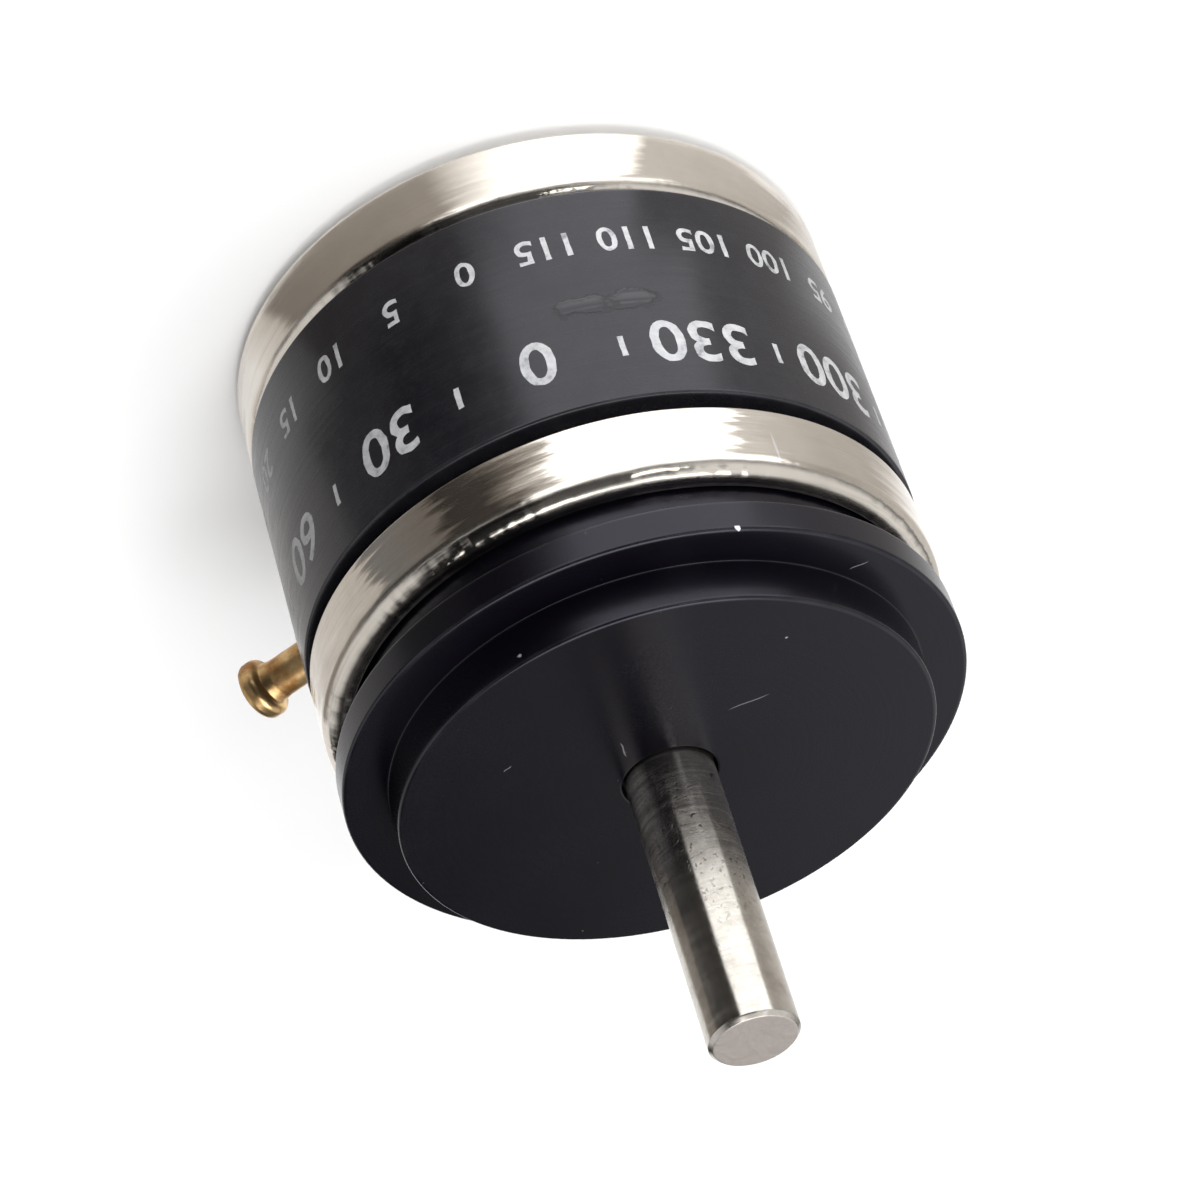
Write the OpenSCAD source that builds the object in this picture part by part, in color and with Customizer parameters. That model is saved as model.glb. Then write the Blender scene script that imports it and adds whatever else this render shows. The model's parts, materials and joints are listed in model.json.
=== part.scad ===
// Single-turn precision potentiometer with a servo mount.
// +Z runs out along the shaft. The origin is the centre of the mounting face, at the foot of the pilot.
// The case is three turned or moulded pieces held end to end by two rolled clamp bands. Inside, a shaft
// in two ball bearings carries a wiper round a wound ring, and a slip ring brings the signal out.

/* [Mounting face] */
// Diameter of the mounting flange
flange_d = 22.225; // [21.8:0.005:22.6]
// Thickness of the mounting flange
flange_t = 1.25; // [1:0.05:1.8]
// Diameter of the locating pilot
pilot_d = 19.05; // [18:0.01:20]
// Height of the locating pilot
pilot_h = 1.6; // [1.2:0.05:2.2]
// Chamfer on the turned edges of the lids and the housing
edge_chamfer = 0.12; // [0.05:0.01:0.2]
// Open width of the groove for the servo clamps
clamp_groove_w = 1.3; // [1:0.05:2]

/* [Housing] */
// Outside diameter of the housing
housing_d = 22.35; // [22:0.01:23]
// Length of the full-diameter part of the housing
housing_l = 9.66; // [8.8:0.02:14]
// Width of the neck between the front band and the housing
neck_w = 0.62; // [0.4:0.02:1]
// Wall of the housing
housing_wall = 1.875; // [1.7:0.025:2.1]

/* [Clamp bands] */
// How far a clamp band lies below the housing's surface
band_sink = 0.025; // [0:0.005:0.1]
// Width of a clamp band
band_w = 2.85; // [2.4:0.05:3.6]
// Thickness of the band metal
band_t = 0.3; // [0.2:0.01:0.4]
// Outside radius of the rolled front edge of a band
roll_r = 0.7; // [0.42:0.01:0.9]
// Outside radius of the formed rear edge of a band
bend_r = 0.15; // [0.05:0.01:0.3]
// Height of the lips that the bands grip
lip_h = 0.65; // [0.5:0.05:0.8]

/* [Lids] */
// Length of the spigots that centre the lids in the housing
spigot_l = 1.2; // [0.8:0.05:1.6]
// Wall of the spigots
spigot_wall = 1; // [0.7:0.05:1.4]
// Wall between the pilot face and the front bearing
front_wall = 1; // [0.7:0.05:1.3]
// Wall between the rear face and the rear bearing's pocket
rear_wall = 0.8; // [0.5:0.05:1]
// How far the rear lid stands out of its band
rear_proud = 0.45; // [0.3:0.05:0.8]
// Thickness of the front lid, pilot included, round the bearing boss
front_web = 2.9; // [2:0.1:3.5]
// Thickness of the rear lid round the bearing boss
rear_web = 1.5; // [1:0.1:2]
// Wall round the bearing pockets
boss_wall = 1.3; // [1:0.05:1.7]
// Diameter of the hole that the shaft leaves by
shaft_hole_d = 3.46; // [3.4:0.01:4]

/* [Shaft] */
// Diameter of the shaft
shaft_d = 3.175; // [3:0.005:3.3]
// Length of the shaft in front of the mounting face
shaft_out = 12.5; // [6:0.1:25]
// Chamfer on the end of the shaft
shaft_chamfer = 0.15; // [0.1:0.01:0.5]
// Width of the grinding relief where the shaft enters the lid
relief_w = 0.6; // [0.55:0.05:0.8]
// Depth of the grinding relief
relief_depth = 0.2; // [0.16:0.01:0.3]
// Depth of the retaining-ring grooves in the shaft
ring_groove = 0.3; // [0.2:0.05:0.4]

/* [Bearings] */
// Outside diameter of a bearing
bearing_od = 9.525; // [9.2:0.005:10]
// Width of a bearing
bearing_w = 3.967; // [3.6:0.001:4.2]
// Diameter of a ball
ball_d = 1.5875; // [1.4:0.0005:1.65]
// Number of balls in a bearing
ball_count = 7; // [5:1:8]
// Thickness of a bearing shield
shield_t = 0.15; // [0.1:0.01:0.25]
// Height of the preload spring as fitted
preload_h = 0.5; // [0.4:0.02:0.7]
// Thickness of the snap ring that holds the front bearing
snap_t = 0.4; // [0.3:0.02:0.5]

/* [Terminals] */
// Angle between neighbouring terminals
terminal_pitch = 45; // [35:1:55]
// Distance from the rear shoulder of the housing to the terminals
terminal_inset = 3.63; // [3.3:0.01:4.4]
// How far a terminal stands out of the housing
terminal_reach = 4.07; // [3:0.01:6]
// Barrel diameter of a terminal
terminal_d = 1.52; // [1.3:0.01:1.8]
// Diameter of the terminal's rim
rim_d = 2.34; // [2.1:0.01:2.8]
// Length of the terminal's rim
rim_l = 0.56; // [0.4:0.02:0.8]
// Length of the flare below the rim
flare_l = 0.7; // [0.4:0.02:1]
// Diameter of the wire hole in a terminal
wire_hole_d = 0.9; // [0.7:0.01:1]
// Depth of the wire hole
wire_hole_l = 3.2; // [2:0.1:3.6]

/* [Resistance element] */
// Angle covered by the winding
winding_angle = 350; // [300:1:354]
// Diameter of the insulated mandrel
mandrel_d = 1; // [0.8:0.02:1.2]
// Thickness of the winding on the mandrel
winding_t = 0.15; // [0.08:0.01:0.2]
// Distance from the terminals forward to the winding
element_lift = 3.45; // [3:0.05:3.8]
// Height of the moulded ring that holds the winding
carrier_h = 2.4; // [1.8:0.1:3]
// Thickness of the internal lead wires
lead_d = 0.3; // [0.2:0.02:0.4]

/* [Rotor] */
// Diameter of the rotor hub
hub_d = 9.2; // [8.8:0.1:10]
// Outside diameter of the slip ring
slip_d = 8.8; // [8.2:0.1:9]
// Width of the slip ring
slip_w = 1.1; // [0.8:0.05:1.2]
// Wall of the slip ring
slip_t = 0.8; // [0.5:0.05:1]
// Diameter of the brush wires
brush_d = 0.3; // [0.2:0.02:0.4]
// Thickness of the wiper spring
wiper_t = 0.25; // [0.15:0.01:0.35]
// Width of the wiper spring at its tip
wiper_tip_w = 1.2; // [1:0.05:1.6]
// Number of contact fingers
finger_count = 4; // [2:1:4]
// Diameter of a contact finger
finger_d = 0.2; // [0.14:0.01:0.22]

/* [Fits] */
// Radial gap where one piece is located in another
fit_gap = 0.02; // [0.01:0.005:0.03]
// Radial gap where a bearing race runs on its balls
race_gap = 0.04; // [0.02:0.005:0.05]
// Gap between a sliding contact and its track
contact_gap = 0.05; // [0.03:0.005:0.1]

/* [Hidden] */
$fn = 96;
eps = 0.01;

// Heights of the faces along the shaft, from front to back
front_band_z = -flange_t - clamp_groove_w;
neck_z = front_band_z - band_w;
housing_z = neck_z - neck_w;
shoulder_z = housing_z - housing_l;
rear_band_z = shoulder_z;
rear_band_end_z = rear_band_z - band_w;
rear_z = rear_band_end_z - rear_proud;
front_parting_z = front_band_z - band_w / 2;
rear_parting_z = rear_band_z - band_w / 2;

// Radii of the case
bore_d = housing_d - 2 * housing_wall;
band_d = housing_d - 2 * band_sink;
lip_r = band_d / 2 - band_t - fit_gap;
root_r = lip_r - lip_h;
band_lip_r = root_r + lip_h / 6;
spigot_r = bore_d / 2 - fit_gap;
cavity_r = spigot_r - spigot_wall;

// Bearings
pitch_r = (shaft_d + bearing_od) / 4;
groove_r = ball_d / 2 + race_gap;
land_inset = 0.024;
land_gap = ball_d / 2 - land_inset;
pocket_r = bearing_od / 2 + fit_gap;
boss_r = pocket_r + boss_wall;
front_race_z = pilot_h - front_wall;
front_race_end_z = front_race_z - bearing_w;
rear_race_end_z = rear_z + rear_wall + preload_h;
rear_race_z = rear_race_end_z + bearing_w;
shield_inset = 0.12;
shield_gap = 0.1;
race_recess_w = 0.9;
race_recess_t = 0.2;
race_proud = 0.3;
snap_seat = 0.35;
snap_reach = 0.45;
snap_clear = 0.02;
snap_land = 0.35;
boss_end_z = front_race_end_z - snap_t - snap_clear - snap_land;
shim_t = 0.1;
shaft_ring_t = 0.4;
shaft_ring_w = 0.95;
shaft_end_gap = 0.35;

// Terminals and element
terminal_z = shoulder_z + terminal_inset;
terminal_tip_r = housing_d / 2 + terminal_reach;
terminal_stub = 0.3;
terminal_root_r = bore_d / 2 - terminal_stub;
terminal_angles = [-90 - terminal_pitch, -90, -90 + terminal_pitch];
knurl_proud = 0.2;
knurl_inset = 0.1;
knurl_l = 0.9;
knurl_d = terminal_d + 2 * knurl_proud;
rim_step = 0.14;
winding_d = mandrel_d + 2 * winding_t;
carrier_back = 0.2;
carrier_t = winding_d / 2 + carrier_back;
winding_r = spigot_r - carrier_t;
winding_z = terminal_z + element_lift;
solder_d = 1.7 * lead_d;
tap_overlap = 4;
tap_angle = (360 - winding_angle) / 2 + tap_overlap;

// Rotor
slip_r = slip_d / 2;
hub_neck_r = slip_r - slip_t - fit_gap;
hub_tail = 0.25;
hub_rise = 0.75;
hub_step_z = terminal_z + slip_w / 2;
hub_end_z = terminal_z - slip_w / 2 - hub_tail;
hub_top_z = winding_z + winding_d / 2 + hub_rise;
wiper_angle = 90;
finger_r = winding_r - winding_d / 2 - contact_gap - finger_d / 2;
block_l = 1.1;
block_r = bore_d / 2 - block_l;
block_w = 1.1;
brush_seat = 0.4;
brush_overrun = 0.8;
screw_r = 0.5;
screw_l = 1.6;
screw_head_r = 0.85;
screw_head_h = 0.45;
screw_offset = 1.45;
screw_ring_r = shaft_d / 2 + screw_offset;
wiper_lead_offset = 0.3;
wiper_lead_r = hub_neck_r + wiper_lead_offset;
set_screw_r = 0.8;
set_screw_z = (hub_top_z + hub_step_z) / 2;
dimple_r = 0.48;
dimple_depth = 0.1;

// ---- small helpers ----

// Ring of rectangular section between two radii and two heights
module ring(r_in, r_out, z_low, z_high) {
    translate([0, 0, z_low]) difference() {
        cylinder(r = r_out, h = z_high - z_low);
        translate([0, 0, -1]) cylinder(r = r_in, h = z_high - z_low + 2);
    }
}

// Rod of diameter d that lies along a radius at angle a, from radius r1 to radius r2
module radial_rod(d, a, r1, r2, z) {
    rotate([0, 0, a]) translate([r1, 0, z]) rotate([0, 90, 0]) cylinder(d = d, h = r2 - r1);
}

// ---- case ----

module front_lid() {
    c = edge_chamfer;
    lip_end = front_band_z - band_t - fit_gap;
    lip_c = roll_r - band_t;
    spigot_end = front_parting_z - spigot_l;
    color([0.05, 0.05, 0.06]) difference() {
        rotate_extrude() difference() {
            polygon([
                [0, pilot_h], [pilot_d / 2 - c, pilot_h], [pilot_d / 2, pilot_h - c], [pilot_d / 2, 0],
                [flange_d / 2 - c, 0], [flange_d / 2, -c], [flange_d / 2, -flange_t + c],
                [flange_d / 2 - c, -flange_t], [root_r, -flange_t], [root_r, lip_end],
                [lip_r - lip_c, lip_end], [lip_r, lip_end - lip_c], [lip_r, front_parting_z],
                [spigot_r, front_parting_z], [spigot_r, spigot_end + c], [spigot_r - c, spigot_end],
                [0, spigot_end]
            ]);
            // Hollow between the boss and the spigot
            translate([boss_r, spigot_end - 1])
                square([cavity_r - boss_r, pilot_h - front_web - spigot_end + 1]);
            // Behind the boss
            translate([-1, spigot_end - 1]) square([boss_r + 1 + eps, boss_end_z - spigot_end + 1]);
        }
        translate([0, 0, front_race_z]) cylinder(d = shaft_hole_d, h = front_wall + 1);
        translate([0, 0, boss_end_z - 1]) cylinder(r = pocket_r, h = front_race_z - boss_end_z + 1);
        // Recess that keeps the wall clear of the inner race
        translate([0, 0, front_race_z - eps])
            cylinder(r = shaft_hole_d / 2 + race_recess_w, h = race_recess_t + eps);
        // Snap-ring groove
        translate([0, 0, front_race_end_z - snap_t - 2 * snap_clear])
            cylinder(r = pocket_r + snap_seat, h = snap_t + 2 * snap_clear);
    }
}

// Section of a clamp band whose rolled front edge is at height 0
module band_section() {
    r = band_d / 2;
    inner_roll = roll_r - band_t;
    difference() {
        union() {
            translate([band_lip_r, -band_w + bend_r]) square([r - band_lip_r, band_w - bend_r - roll_r]);
            translate([band_lip_r, -band_w]) square([r - bend_r - band_lip_r, band_w]);
            translate([band_lip_r, -roll_r]) square([r - roll_r - band_lip_r, roll_r]);
            translate([r - bend_r, -band_w + bend_r]) circle(r = bend_r);
        }
        // Rounded front edge
        difference() {
            translate([r - roll_r, -roll_r]) square(roll_r + 1);
            translate([r - roll_r, -roll_r]) circle(r = roll_r);
        }
        // Inside of the channel
        difference() {
            translate([band_lip_r - 1, -band_w + band_t])
                square([r - band_t - band_lip_r + 1, band_w - 2 * band_t]);
            difference() {
                translate([r - roll_r, -roll_r]) square(roll_r);
                translate([r - roll_r, -roll_r]) circle(r = inner_roll);
            }
        }
    }
}

module clamp_band(z) {
    color([0.78, 0.75, 0.7]) translate([0, 0, z]) rotate_extrude() band_section();
}

module housing() {
    c = edge_chamfer;
    front_lip_end = neck_z + band_t + fit_gap;
    rear_lip = rear_band_z - band_t - fit_gap;
    lip_c = roll_r - band_t;
    r = housing_d / 2;
    color([0.09, 0.09, 0.1]) difference() {
        rotate_extrude() polygon([
            [bore_d / 2, front_parting_z], [lip_r, front_parting_z], [lip_r, front_lip_end],
            [root_r, front_lip_end], [root_r, housing_z], [r - c, housing_z], [r, housing_z - c],
            [r, shoulder_z + c], [r - c, shoulder_z], [root_r, shoulder_z], [root_r, rear_lip],
            [lip_r - lip_c, rear_lip], [lip_r, rear_lip - lip_c], [lip_r, rear_parting_z],
            [bore_d / 2, rear_parting_z]
        ]);
        for (a = terminal_angles) {
            radial_rod(terminal_d + 2 * fit_gap, a, bore_d / 2 - 1, r + 1, terminal_z);
            radial_rod(knurl_d + 2 * fit_gap, a, bore_d / 2 - 1,
                       bore_d / 2 + knurl_inset + knurl_l, terminal_z);
        }
    }
}

module rear_lid() {
    c = edge_chamfer;
    lip_end = rear_band_end_z + band_t + fit_gap;
    spigot_end = rear_parting_z + spigot_l;
    web_z = rear_z + rear_web;
    boss_top = rear_race_z - race_proud;
    color([0.06, 0.06, 0.07]) difference() {
        rotate_extrude() polygon([
            [0, rear_z], [root_r - 2 * c, rear_z], [root_r, rear_z + 2 * c], [root_r, lip_end],
            [lip_r, lip_end], [lip_r, rear_parting_z], [spigot_r, rear_parting_z],
            [spigot_r, spigot_end - c], [spigot_r - c, spigot_end], [cavity_r, spigot_end],
            [cavity_r, web_z], [boss_r, web_z], [boss_r, boss_top - c], [boss_r - c, boss_top],
            [0, boss_top]
        ]);
        translate([0, 0, rear_z + rear_wall]) cylinder(r = pocket_r, h = boss_top - rear_z);
    }
}

// ---- terminals ----

// Turned terminal along +X, at its true radii from the shaft axis
module terminal(a) {
    tip = terminal_tip_r;
    rim_r = rim_d / 2;
    barrel_r = terminal_d / 2;
    rim_round = rim_l / 4;
    flare_r = rim_r - rim_step;
    rim_low = tip - rim_l;
    color([0.8, 0.6, 0.25]) rotate([0, 0, a]) translate([0, 0, terminal_z]) rotate([0, 90, 0])
    rotate_extrude() difference() {
        union() {
            translate([0, terminal_root_r]) square([barrel_r, tip - terminal_root_r - eps]);
            // Knurled part held in the wall
            translate([0, bore_d / 2 + knurl_inset]) square([knurl_d / 2, knurl_l]);
            // Flare from the barrel to the rim
            polygon([[0, rim_low - flare_l], [barrel_r, rim_low - flare_l], [flare_r, rim_low + eps],
                     [0, rim_low + eps]]);
            // Rim with rounded edges
            translate([0, rim_low + rim_round]) square([rim_r, rim_l - 2 * rim_round]);
            translate([0, rim_low]) square([rim_r - rim_round, rim_l]);
            for (z = [rim_low + rim_round, tip - rim_round])
                translate([rim_r - rim_round, z]) circle(r = rim_round);
        }
        // Wire hole with a flared mouth
        translate([-1, tip - wire_hole_l]) square([1 + wire_hole_d / 2, wire_hole_l + 1]);
        polygon([[0, tip + eps], [rim_r - rim_round, tip + eps],
                 [wire_hole_d / 2, tip - rim_l], [0, tip - rim_l]]);
    }
}

// ---- resistance element ----

module element_carrier() {
    color([0.55, 0.4, 0.2]) rotate_extrude() difference() {
        translate([winding_r, winding_z - carrier_h / 2]) square([carrier_t, carrier_h]);
        translate([winding_r, winding_z]) circle(r = winding_d / 2 + fit_gap);
    }
}

module element_mandrel() {
    color([0.72, 0.4, 0.2]) rotate([0, 0, -90 + (360 - winding_angle) / 2])
    rotate_extrude(angle = winding_angle)
        translate([winding_r, winding_z]) circle(d = mandrel_d, $fn = 32);
}

module resistance_winding() {
    color([0.6, 0.58, 0.55]) rotate([0, 0, -90 + (360 - winding_angle) / 2])
    rotate_extrude(angle = winding_angle) translate([winding_r, winding_z]) difference() {
        circle(d = winding_d, $fn = 32);
        circle(d = mandrel_d, $fn = 32);
    }
}

// Lead from a terminal's inner end, round the bore, and forward to the end of the winding, with a
// bead of solder at each corner
module lead(side) {
    end_angle = -90 + side * tap_angle;
    start_angle = -90 + side * terminal_pitch;
    r = winding_r - lead_d / 2 - fit_gap;
    color([0.75, 0.6, 0.3]) {
        radial_rod(lead_d, start_angle, r, terminal_root_r, terminal_z);
        rotate([0, 0, min(start_angle, end_angle)]) rotate_extrude(angle = terminal_pitch - tap_angle)
            translate([r, terminal_z]) circle(d = lead_d, $fn = 24);
        rotate([0, 0, end_angle]) translate([r, 0, terminal_z])
            cylinder(d = lead_d, h = element_lift - winding_d / 2, $fn = 24);
        for (a = [start_angle, end_angle])
            rotate([0, 0, a]) translate([r, 0, terminal_z]) sphere(d = solder_d, $fn = 24);
    }
}

// ---- slip-ring brushes ----

// Spring wire that leaves the block towards one side of the slip ring, start_in mm inside the block
module brush_wire(side, d, start_in) {
    touch_r = slip_r + contact_gap + brush_d / 2;
    spread = asin(touch_r / block_r);
    reach = sqrt(block_r * block_r - touch_r * touch_r) + brush_overrun;
    translate([0, -block_r, terminal_z + side * (brush_d / 2 + fit_gap)])
        rotate([0, 0, side * spread]) translate([0, -start_in, 0]) rotate([-90, 0, 0])
            cylinder(d = d, h = reach + start_in, $fn = 24);
}

module brush_block() {
    color([0.7, 0.55, 0.3]) difference() {
        translate([-block_w / 2, -terminal_root_r, terminal_z - block_w / 2])
            cube([block_w, terminal_root_r - block_r, block_w]);
        for (side = [-1, 1]) brush_wire(side, brush_d + 2 * fit_gap, brush_seat + fit_gap);
    }
}

// Two spring wires held in the block, which lie along both sides of the slip ring
module brush_wires() {
    color([0.85, 0.7, 0.35]) for (side = [-1, 1]) brush_wire(side, brush_d, brush_seat);
}

// ---- bearings: z is the front face of the bearing ----

module outer_race(z) {
    mid = z - bearing_w / 2;
    color([0.7, 0.7, 0.72]) rotate_extrude() difference() {
        translate([pitch_r + land_gap, z - bearing_w])
            square([bearing_od / 2 - pitch_r - land_gap, bearing_w]);
        translate([pitch_r, mid]) circle(r = groove_r);
    }
}

module inner_race(z) {
    mid = z - bearing_w / 2;
    inner_r = shaft_d / 2 + fit_gap / 2;
    color([0.7, 0.7, 0.72]) rotate_extrude() difference() {
        translate([inner_r, z - bearing_w]) square([pitch_r - land_gap - inner_r, bearing_w]);
        translate([pitch_r, mid]) circle(r = groove_r);
    }
}

module shields(z) {
    inner_r = pitch_r - land_gap + shield_gap;
    outer_r = pitch_r + land_gap - fit_gap;
    color([0.75, 0.75, 0.77]) for (low = [z - shield_inset - shield_t, z - bearing_w + shield_inset])
        ring(inner_r, outer_r, low, low + shield_t);
}

module balls(z) {
    color([0.8, 0.8, 0.82]) for (i = [0 : ball_count - 1])
        rotate([0, 0, 360 * i / ball_count]) translate([pitch_r, 0, z - bearing_w / 2])
            sphere(d = ball_d, $fn = 48);
}

// Crown cage: a ring behind the balls with a pocket for each
module ball_cage(z) {
    half_w = ball_d * 0.27;
    mid = z - bearing_w / 2;
    color([0.8, 0.62, 0.3]) difference() {
        ring(pitch_r - half_w, pitch_r + half_w, mid - ball_d * 0.68, mid - ball_d * 0.1);
        for (i = [0 : ball_count - 1])
            rotate([0, 0, 360 * i / ball_count]) translate([pitch_r, 0, mid])
                sphere(r = ball_d / 2 + race_gap, $fn = 48);
    }
}

// Internal snap ring with two eared ends
module bearing_snap_ring() {
    gap_angle = 36;
    ear_r = 0.5;
    ear_hole_r = 0.25;
    ear_angle = gap_angle / 2 + 3;
    outer_r = pocket_r + snap_seat - fit_gap;
    inner_r = pocket_r - snap_reach;
    z = front_race_end_z - snap_t - snap_clear;
    color([0.6, 0.6, 0.62]) translate([0, 0, z]) difference() {
        union() {
            rotate([0, 0, 90 + gap_angle / 2]) rotate_extrude(angle = 360 - gap_angle)
                translate([inner_r, 0]) square([outer_r - inner_r, snap_t]);
            for (side = [-1, 1]) rotate([0, 0, 90 + side * ear_angle])
                translate([inner_r, 0, 0]) cylinder(r = ear_r, h = snap_t, $fn = 32);
        }
        for (side = [-1, 1]) rotate([0, 0, 90 + side * ear_angle])
            translate([inner_r, 0, -1]) cylinder(r = ear_hole_r, h = snap_t + 2, $fn = 24);
    }
}

// Wave washer: three waves that fill the height between the pocket floor and the race
module preload_spring() {
    waves = 3;
    steps = 72;
    metal = 0.15;
    r_out = pocket_r - 0.1;
    r_in = r_out - 1;
    lift = (preload_h - metal) / 2;
    floor_z = rear_z + rear_wall;
    function wave(i) = floor_z + lift * (1 - cos(waves * 360 * i / steps));
    function corner(i, r, z) = [r * cos(360 * i / steps), r * sin(360 * i / steps), z];
    points = [for (i = [0 : steps - 1]) each [
        corner(i, r_in, wave(i)), corner(i, r_out, wave(i)),
        corner(i, r_out, wave(i) + metal), corner(i, r_in, wave(i) + metal)]];
    faces = [for (i = [0 : steps - 1], k = [0 : 3])
        let (j = (i + 1) % steps, m = (k + 1) % 4)
        [4 * i + k, 4 * i + m, 4 * j + m, 4 * j + k]];
    color([0.7, 0.68, 0.6]) polyhedron(points, faces);
}

// ---- rotor ----

module shaft() {
    r = shaft_d / 2;
    c = shaft_chamfer;
    end_z = rear_z + rear_wall + shaft_end_gap;
    neck_r = r - ring_groove;
    ring_zs = [front_race_end_z - shim_t - shaft_ring_t, rear_race_z + shim_t];
    color([0.72, 0.7, 0.67]) difference() {
        rotate_extrude() polygon([
            [0, end_z], [r - c, end_z], [r, end_z + c], [r, shaft_out - c], [r - c, shaft_out],
            [0, shaft_out]
        ]);
        for (z = ring_zs) ring(neck_r, r + 1, z, z + shaft_ring_t);
        ring(r - relief_depth, r + 1, pilot_h - relief_w, pilot_h);
        // Dimple for the hub's set screw
        radial_rod(2 * dimple_r, -90, r - dimple_depth, r + 1, set_screw_z);
    }
}

module shim_washers() {
    shim_gap = 0.005;
    r_in = shaft_d / 2 + fit_gap;
    r_out = pitch_r - land_gap - fit_gap;
    color([0.8, 0.7, 0.4]) for (z = [front_race_end_z - shim_t, rear_race_z])
        ring(r_in, r_out, z + shim_gap, z + shim_t - shim_gap);
}

// Open rings snapped into the shaft's grooves
module shaft_retaining_rings() {
    r_in = shaft_d / 2 - ring_groove + fit_gap;
    t = shaft_ring_t - 2 * fit_gap;
    color([0.55, 0.55, 0.58])
    for (z = [front_race_end_z - shim_t - shaft_ring_t, rear_race_z + shim_t])
        translate([0, 0, z + fit_gap]) rotate([0, 0, 30]) rotate_extrude(angle = 300)
            translate([r_in, 0]) square([shaft_ring_w, t]);
}

// Moulded hub: a drum with a neck behind it for the slip ring
module rotor_hub() {
    tap_clear = 0.4;
    color([0.35, 0.2, 0.12]) difference() {
        union() {
            translate([0, 0, hub_step_z]) cylinder(d = hub_d, h = hub_top_z - hub_step_z);
            translate([0, 0, hub_end_z]) cylinder(r = hub_neck_r, h = hub_step_z - hub_end_z + eps);
        }
        translate([0, 0, hub_end_z - 1])
            cylinder(r = shaft_d / 2 + fit_gap / 2, h = hub_top_z - hub_end_z + 2);
        radial_rod(2 * (set_screw_r + fit_gap), -90, 0, hub_d, set_screw_z);
        rotate([0, 0, wiper_angle]) {
            translate([screw_ring_r, 0, hub_top_z - screw_l - tap_clear])
                cylinder(r = screw_r + fit_gap, h = screw_l + tap_clear + 1, $fn = 32);
            translate([wiper_lead_r, 0, hub_step_z - eps])
                cylinder(d = lead_d + 2 * fit_gap, h = hub_top_z - hub_step_z + 1, $fn = 24);
        }
    }
}

module hub_set_screw() {
    sunk = 0.12;
    point_l = 0.3;
    point_r = 0.24;
    socket_l = 0.8;
    socket_r = 0.4;
    start_r = shaft_d / 2 - dimple_depth + fit_gap;
    length = hub_d / 2 - sunk - start_r;
    color([0.25, 0.25, 0.27]) rotate([0, 0, -90]) translate([start_r, 0, set_screw_z])
    rotate([0, 90, 0]) difference() {
        union() {
            cylinder(r1 = point_r, r2 = dimple_r - fit_gap, h = point_l, $fn = 32);
            translate([0, 0, point_l]) cylinder(r = set_screw_r, h = length - point_l, $fn = 32);
        }
        // Hexagon socket
        translate([0, 0, length - socket_l]) cylinder(r = socket_r, h = socket_l + 1, $fn = 6);
    }
}

module slip_ring() {
    color([0.9, 0.75, 0.4])
        ring(slip_r - slip_t, slip_r, hub_step_z - slip_w, hub_step_z);
}

module wiper_lead() {
    color([0.75, 0.6, 0.3]) rotate([0, 0, wiper_angle]) translate([wiper_lead_r, 0, hub_step_z])
        cylinder(d = lead_d, h = hub_top_z - hub_step_z, $fn = 24);
}

// Flat spring on the hub's front face, which tapers to the contact fingers
module wiper_spring() {
    root_w = 2.4;
    corner = 0.3;
    root_x = screw_ring_r - root_w / 2;
    tip_x = finger_r + finger_d;
    color([0.8, 0.68, 0.4]) rotate([0, 0, wiper_angle]) translate([0, 0, hub_top_z]) difference() {
        linear_extrude(wiper_t) polygon([
            [root_x, corner - root_w / 2], [root_x + corner, -root_w / 2], [hub_d / 2, -root_w / 2],
            [tip_x, -wiper_tip_w / 2], [tip_x, wiper_tip_w / 2], [hub_d / 2, root_w / 2],
            [root_x + corner, root_w / 2], [root_x, root_w / 2 - corner]
        ]);
        translate([screw_ring_r, 0, -1]) cylinder(r = screw_r + fit_gap, h = 2, $fn = 32);
    }
}

// Row of fine wires that hang from the spring's tip and bear outwards on the winding
module wiper_fingers() {
    pitch = (wiper_tip_w - finger_d) / max(finger_count - 1, 1);
    low_z = winding_z - finger_d;
    color([0.9, 0.78, 0.45]) rotate([0, 0, wiper_angle]) for (i = [0 : finger_count - 1]) {
        y = (i - (finger_count - 1) / 2) * pitch;
        x = sqrt(finger_r * finger_r - y * y);
        translate([x, y, low_z]) cylinder(d = finger_d, h = hub_top_z - low_z, $fn = 24);
        translate([x, y, low_z]) sphere(d = finger_d, $fn = 24);
    }
}

module wiper_screw() {
    slot_w = 0.24;
    slot_t = 0.2;
    shank_l = screw_l + wiper_t;
    color([0.6, 0.6, 0.62]) rotate([0, 0, wiper_angle]) translate([screw_ring_r, 0, hub_top_z + wiper_t])
    difference() {
        union() {
            cylinder(r = screw_head_r, h = screw_head_h, $fn = 32);
            translate([0, 0, -shank_l]) cylinder(r = screw_r, h = shank_l + eps, $fn = 32);
        }
        translate([-screw_head_r - 1, -slot_w / 2, screw_head_h - slot_t])
            cube([2 * screw_head_r + 2, slot_w, 1]);
    }
}

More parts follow.
